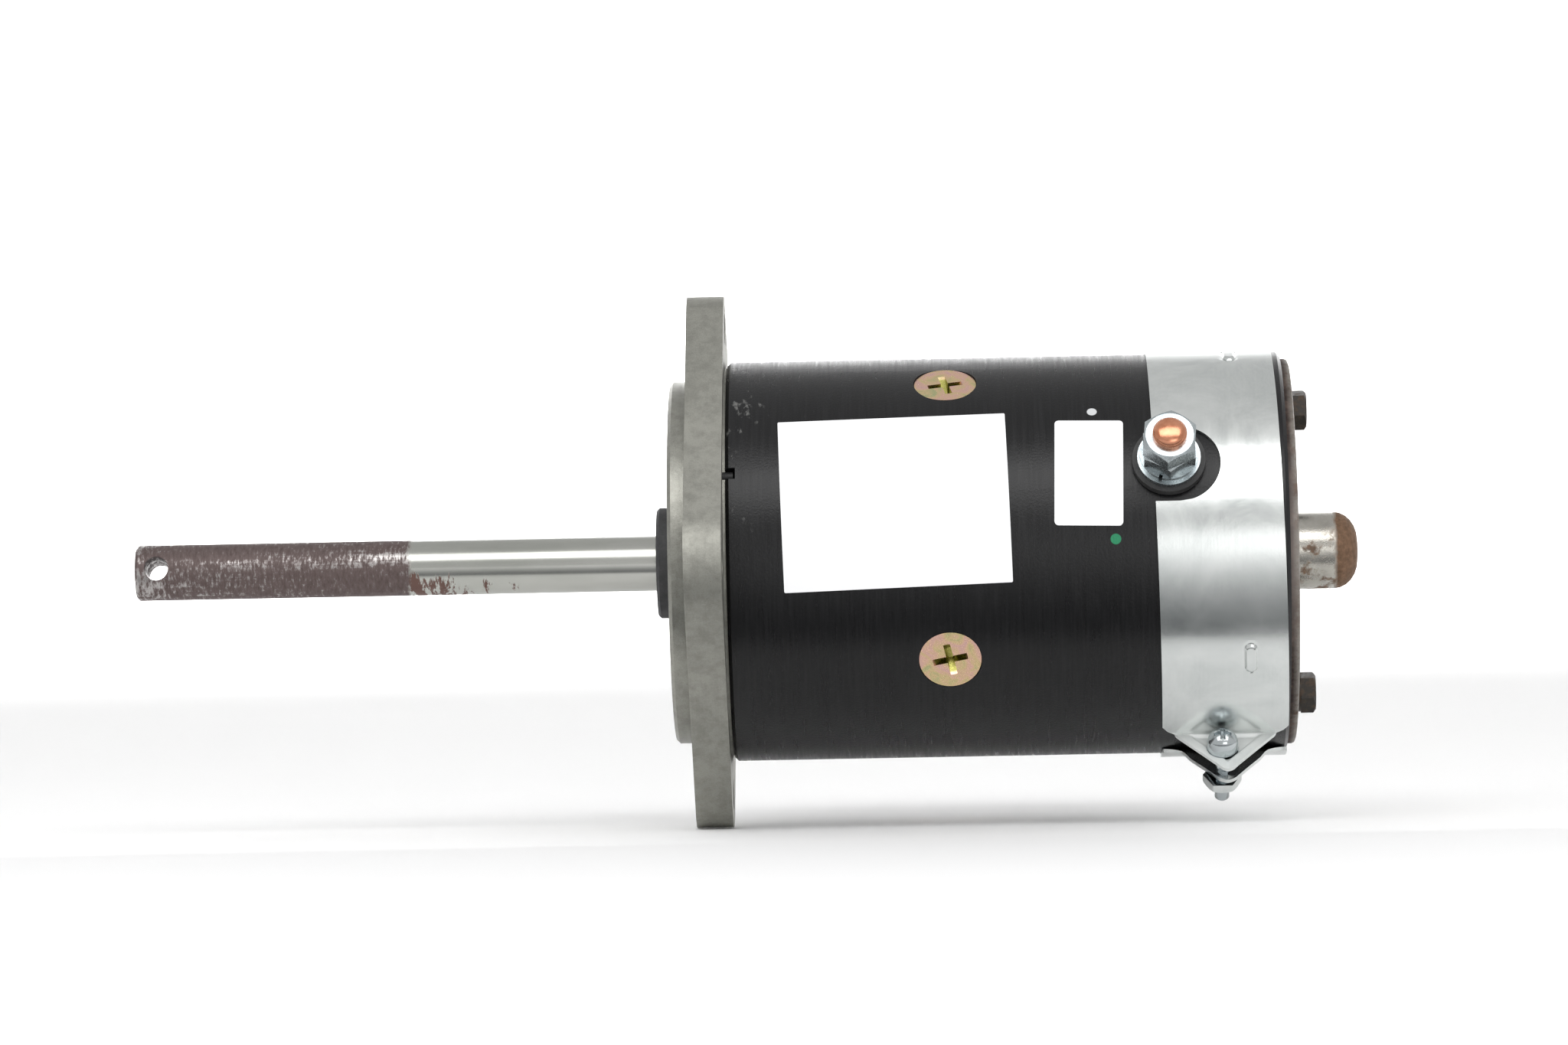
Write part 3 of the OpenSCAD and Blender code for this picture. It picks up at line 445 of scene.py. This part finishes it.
# Angles round the band, in degrees: the front ear's fold, and both ends of the plain ring
FOLD = -59.6
RING_FIRST, RING_LAST = -57.2, 283.4
SCREW_R = 2.1 * mm
SCREW_LENGTH = 19.0 * mm
# Pressed beads: place along X in millimetres, angle round the band in degrees
BEADS = [(157.0, -30.5), (155.4, 74.0), (157.0, 118.0), (155.4, 224.0)]


def smooth(t):
    t = min(max(t, 0.0), 1.0)
    return t * t * (3 - 2 * t)


def along(table, value):
    """Straight-line reading of a table of pairs."""
    for (x0, y0), (x1, y1) in zip(table, table[1:]):
        if value <= x1:
            return y0 + (y1 - y0) * max(value - x0, 0.0) / (x1 - x0)
    return table[-1][1]


def ear_points(root, tilt, first, last, step):
    """Points along an ear's face, each with its distance out from the root, in millimetres."""
    out = (-math.cos(math.radians(tilt)), -math.sin(math.radians(tilt)))
    count = int(round(abs(last - first) / step))
    for i in range(count + 1):
        v = first + (last - first) * i / count
        yield (root[0] + out[0] * v, root[1] + out[1] * v), v


def fillet(a, corner, b, va, vb, steps=7):
    for i in range(1, steps):
        t = i / steps
        p = [(1 - t) ** 2 * a[k] + 2 * t * (1 - t) * corner[k] + t * t * b[k] for k in (0, 1)]
        yield tuple(p), va + (vb - va) * t


def ring_angles(first, last):
    """Angles round the band, closer together at the beads and at the slot."""
    slot = math.degrees(math.asin(SLOT_R / BAND_R))
    stops = sorted([first, last, math.degrees(SLOT_A) - slot, math.degrees(SLOT_A) + slot])
    close = [(a, 6.0) for _, a in BEADS] + [(math.degrees(SLOT_A), slot)]
    for start, stop in zip(stops, stops[1:]):
        angle = start
        while angle < stop - 0.3:
            yield angle
            fine = any(abs(angle - a) < reach + 1.5 for a, reach in close)
            angle += 0.5 if fine else 1.5
    yield last


def band_path():
    """Outer face of the sheet from the front ear's tip to the rear ear's: (Y, Z), zone, position."""
    r = BAND_R / mm
    # 0.64 and 0.768: the sine and cosine of the front ear's slope, one sheet thickness outward
    front_root = (FRONT_ROOT[0] - 0.64 * SHEET / mm, FRONT_ROOT[1] + 0.768 * SHEET / mm)
    on_ring = lambda a: (-r * math.cos(math.radians(a)), r * math.sin(math.radians(a)))
    rows = [(p, "front", v) for p, v in ear_points(front_root, FRONT_TILT, 16.0, 1.2, EAR_STEP)]
    rows += [(p, "front", v) for p, v in fillet(rows[-1][0], on_ring(FOLD - 1.0), on_ring(FOLD), 1.2, -0.4)]
    rows += [(on_ring(FOLD + 0.6 * i), "front", -0.4 - 0.3 * i) for i in range(4)]
    rows += [(on_ring(a), "ring", a) for a in ring_angles(RING_FIRST, RING_LAST)]
    rear = [(p, "rear", v) for p, v in ear_points(REAR_ROOT, REAR_TILT, 0.8, 18.0, EAR_STEP)]
    rows += [(p, "rear", v) for p, v in fillet(rows[-1][0], on_ring(-74.8), rear[0][0], -3.0, 0.8)]
    return rows + rear


def sheet_height(zone, place, x, half):
    """How far the sheet's face stands off its path at one point, in metres."""
    if zone == "ring":
        up = 0.0
        for bead_x, bead_a in BEADS:
            arc = abs(math.radians((place - bead_a + 180) % 360 - 180)) * BAND_R
            far = math.hypot(x - bead_x * mm, max(arc - 2.75 * mm, 0.0))
            up += 0.6 * mm * smooth((1.8 * mm - far) / (0.55 * mm))
            up -= 0.22 * mm * math.exp(-((far - 2.0 * mm) / (0.28 * mm)) ** 2)
        return up
    inset = 0.74 * (half - abs(x - band_mid))
    pocket = smooth((inset - 2.6 * mm) / (0.8 * mm)) * smooth((place - 1.2) / 0.9)
    if zone == "front":
        return -EMBOSS * pocket
    curl = smooth((place - 1.5) / 3.0) * (1 - smooth(inset / (2.4 * mm)))
    return -EMBOSS * pocket + 0.9 * mm * curl


def cover_band():
    rows = band_path()
    columns = [-BAND_HALF + (SLOT_COLUMN + BAND_HALF) * i / 10 for i in range(10)]
    split = len(columns)
    place = SLOT_COLUMN
    while place < BAND_HALF - 0.3 * mm:
        columns.append(place)
        place += (0.28 if 2.8 * mm < place < 10.2 * mm else 0.75) * mm
    columns.append(BAND_HALF)
    made = bmesh.new()
    outer, inner = {}, {}
    for i, (point, zone, place) in enumerate(rows):
        before = Vector(rows[max(i - 1, 0)][0])
        after = Vector(rows[min(i + 1, len(rows) - 1)][0])
        run = (after - before).normalized()
        out = Vector((0.0, -run.y, run.x))
        base = Vector((0.0, point[0] * mm, point[1] * mm))
        half = BAND_HALF
        if zone != "ring":
            half = along(FRONT_OUTLINE if zone == "front" else REAR_OUTLINE, place) * mm
        off = BAND_R * math.sin(math.radians(place) - SLOT_A) if zone == "ring" else 1.0
        in_slot = zone == "ring" and abs(off) < SLOT_R - 0.01 * mm and -10 < place < 60
        for j, column in enumerate(columns):
            if in_slot and j < split:
                continue
            x = column * half / BAND_HALF
            if in_slot:
                left = SLOT_COLUMN + math.sqrt(SLOT_R ** 2 - off ** 2)
                x = left + (column - SLOT_COLUMN) * (BAND_HALF - left) / (BAND_HALF - SLOT_COLUMN)
            spot = base + Vector((band_mid + x - base.z * SKEW, 0, 0))
            spot += out * sheet_height(zone, place, band_mid + x, half)
            outer[i, j] = made.verts.new(spot)
            inner[i, j] = made.verts.new(spot - out * SHEET)
    for i in range(len(rows) - 1):
        for j in range(len(columns) - 1):
            keys = [(i, j), (i, j + 1), (i + 1, j + 1), (i + 1, j)]
            if all(k in outer for k in keys):
                made.faces.new([outer[k] for k in keys])
                made.faces.new([inner[k] for k in reversed(keys)])
    twin = {outer[k]: inner[k] for k in outer}
    for edge in [e for e in made.edges if e.is_boundary and e.verts[0] in twin]:
        a, b = edge.verts
        made.faces.new((a, b, twin[b], twin[a]))
    return finish_piece("cover_band_sheet", made, "bright_zinc", "band_cover")


def revolve(place, axis, profile, steps=64, dent=None):
    """Solid of revolution about an axis; the profile runs from the base's rim to the axis, as (r, height)."""
    made = bmesh.new()
    turn = axis.to_track_quat("Z", "Y").to_matrix()
    rings = []
    for r, up in profile:
        ring = []
        for k in range(steps if r > 0 else 1):
            angle = 2 * math.pi * k / steps
            x, y = r * math.cos(angle), r * math.sin(angle)
            sunk = dent(x, y) if dent else 0.0
            ring.append(made.verts.new(place + turn @ Vector((x, y, up - sunk))))
        rings.append(ring)
    for a, b in zip(rings, rings[1:]):
        for k in range(steps):
            n = (k + 1) % steps
            corners = [a[k], a[n], b[n], b[k]] if len(b) > 1 else [a[k], a[n], b[0]]
            made.faces.new(corners)
    made.faces.new(reversed(rings[0]))
    return made


def cross_dent(half, reach, depth):
    """Depth of a cross recess at a point of a screw head."""
    def dent(x, y):
        narrow, far = min(abs(x), abs(y)), max(abs(x), abs(y))
        return depth * smooth((half - narrow) / (0.3 * mm)) * smooth((reach - far) / (0.5 * mm))
    return dent


def dome(r, skirt, height, rings=26):
    """Profile of a domed head: short skirt, then an elliptical crown."""
    points = [(r, 0.0), (r, skirt)]
    for i in range(1, rings):
        t = math.pi / 2 * i / rings
        points.append((r * math.cos(t), skirt + (height - skirt) * math.sin(t)))
    return points + [(0.0, height)]


def clamp_screw():
    """Screw with a domed, cross-recessed head, square to the front clamp ear."""
    seat = EAR_HOLE + EAR_UP * SHEET
    recess = cross_dent(0.7 * mm, 2.5 * mm, 1.7 * mm)
    made = revolve(seat, EAR_UP, dome(4.4 * mm, 1.8 * mm, 5.8 * mm), 72, recess)
    shank = revolve(seat - EAR_UP * SCREW_LENGTH, EAR_UP, [
        (SCREW_R - 0.6 * mm, 0.0), (SCREW_R, 0.7 * mm), (SCREW_R, SCREW_LENGTH + 0.2 * mm),
        (0.0, SCREW_LENGTH + 0.3 * mm)], 40)
    extra = bpy.data.meshes.new("shank")
    shank.to_mesh(extra)
    shank.free()
    made.from_mesh(extra)
    bpy.data.meshes.remove(extra)
    return finish_piece("clamp_screw", made, "bright_zinc", "band_screw")


def stud_end():
    """Domed copper end of the terminal stud."""
    out = around(stud_a)
    tip = Vector((stud_x, 0, 0)) + out * (radius("terminal_stud") - 1.5 * mm)
    return finish_piece("stud_end", revolve(tip, out, dome(4.45 * mm, 0.3 * mm, 2.1 * mm)), "copper")


def finish_piece(name, made, slot, *replaced):
    """Turns a bmesh into a piece on the housing with a material slot's finish."""
    bmesh.ops.recalc_face_normals(made, faces=made.faces)
    mesh = bpy.data.meshes.new(name)
    made.to_mesh(mesh)
    made.free()
    mesh.shade_smooth()
    mesh.set_sharp_from_angle(angle=math.radians(SHARP_EDGE))
    mesh.materials.append(MATERIALS[slot])
    piece = bpy.data.objects.new(name, mesh)
    scene.collection.objects.link(piece)
    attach(piece, "housing")
    for node in replaced:
        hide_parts(node)
    return piece


cover_band()
clamp_screw()
stud_end()


# ---- Stage, lights and camera ----

FLOOR_Z = head_lo.z - 0.2 * mm
CAMERA_AT = Vector((0.07335, -2.087, 0.0110))
CAMERA_AIM = Vector((0.02655, 0.0, 0.0110))
CAMERA_ROLL = math.radians(1.13)
CAMERA_LENS = 167.0


def sweep():
    """Floor that curves up into a backdrop."""
    wide, front, back, bend, tall = 7.0, -7.0, 4.6, 1.4, 5.0
    path = [(front, 0.0), (back, 0.0)]
    steps = 24
    for i in range(1, steps + 1):
        turn = math.pi / 2 * i / steps
        path.append((back + bend * math.sin(turn), bend * (1 - math.cos(turn))))
    path.append((back + bend, tall))
    made = bmesh.new()
    rows = [[made.verts.new((side * wide, y, FLOOR_Z + z)) for side in (-1, 1)] for y, z in path]
    for a, b in zip(rows, rows[1:]):
        made.faces.new((a[0], a[1], b[1], b[0]))
    mesh = bpy.data.meshes.new("backdrop")
    made.to_mesh(mesh)
    made.free()
    mesh.shade_smooth()
    floor = bpy.data.objects.new("backdrop", mesh)
    scene.collection.objects.link(floor)
    s = Shade("floor_white")
    s.set(base_color=s.mix(s.noise(3, 2), (0.93, 0.93, 0.93), (0.95, 0.95, 0.95)), roughness=0.8)
    mesh.materials.append(s.material)


def dark_card(name, far, near):
    """Card on the floor in front of the motor, grey near it and paler away, seen only in reflections: a painted
    dark reflection.
    """
    made = bmesh.new()
    rows = [[made.verts.new((x, y, FLOOR_Z + 0.1 * mm)) for x in (-1.5, 1.6)] for y in (far, near)]
    made.faces.new((rows[0][0], rows[0][1], rows[1][1], rows[1][0]))
    mesh = bpy.data.meshes.new(name)
    made.to_mesh(mesh)
    made.free()
    card = bpy.data.objects.new(name, mesh)
    scene.collection.objects.link(card)
    s = Shade(name)
    away = s.calc("POWER", s.calc("SUBTRACT", 1.0, s.calc("DIVIDE", near, s.y)), 2.0)
    s.set(base_color=s.mix(away, (0.16, 0.165, 0.17), (0.95, 0.95, 0.95)), roughness=0.9)
    mesh.materials.append(s.material)
    # Painted reflection: hidden from the camera, from diffuse light and from shadows, so only glossy rays see
    # it.
    card.visible_camera = False
    card.visible_diffuse = False
    card.visible_shadow = False


def area_light(name, place, aim, size, power):
    data = bpy.data.lights.new(name, "AREA")
    data.shape = "RECTANGLE"
    data.size, data.size_y = size
    data.energy = power
    light = bpy.data.objects.new(name, data)
    scene.collection.objects.link(light)
    light.location = place
    light.rotation_euler = (Vector(aim) - Vector(place)).to_track_quat("-Z", "Y").to_euler()


def camera():
    data = bpy.data.cameras.new("camera")
    data.lens = CAMERA_LENS
    data.sensor_width = 36.0
    data.clip_end = 50.0
    made = bpy.data.objects.new("camera", data)
    scene.collection.objects.link(made)
    forward = (CAMERA_AIM - CAMERA_AT).normalized()
    level = forward.cross(Vector((0, 0, 1))).normalized()
    upright = level.cross(forward)
    c, s = math.cos(CAMERA_ROLL), math.sin(CAMERA_ROLL)
    right = level * c - upright * s
    up = upright * c + level * s
    turn = Matrix((right, up, -forward)).transposed().to_4x4()
    made.matrix_world = Matrix.Translation(CAMERA_AT) @ turn
    scene.camera = made


sweep()
area_light("high_front", (0.1, -1.34, 1.34), (0.05, 0, 0), (2.6, 0.9), 21)
area_light("low_front", (1.0, -3.0, 0.32), (0.1, 0, 0), (1.5, 0.76), 7)
area_light("back", (0.0, 3.7, 2.2), (0, 6.0, 0.1), (9.0, 0.7), 330)
dark_card("painted_reflection_card", -1.3, -0.1)
world = bpy.data.worlds.new("studio")
world.use_nodes = True
world.node_tree.nodes["Background"].inputs[0].default_value = (1, 1, 1, 1)
world.node_tree.nodes["Background"].inputs[1].default_value = 0.65
scene.world = world
scene.view_settings.view_transform = "Standard"
camera()
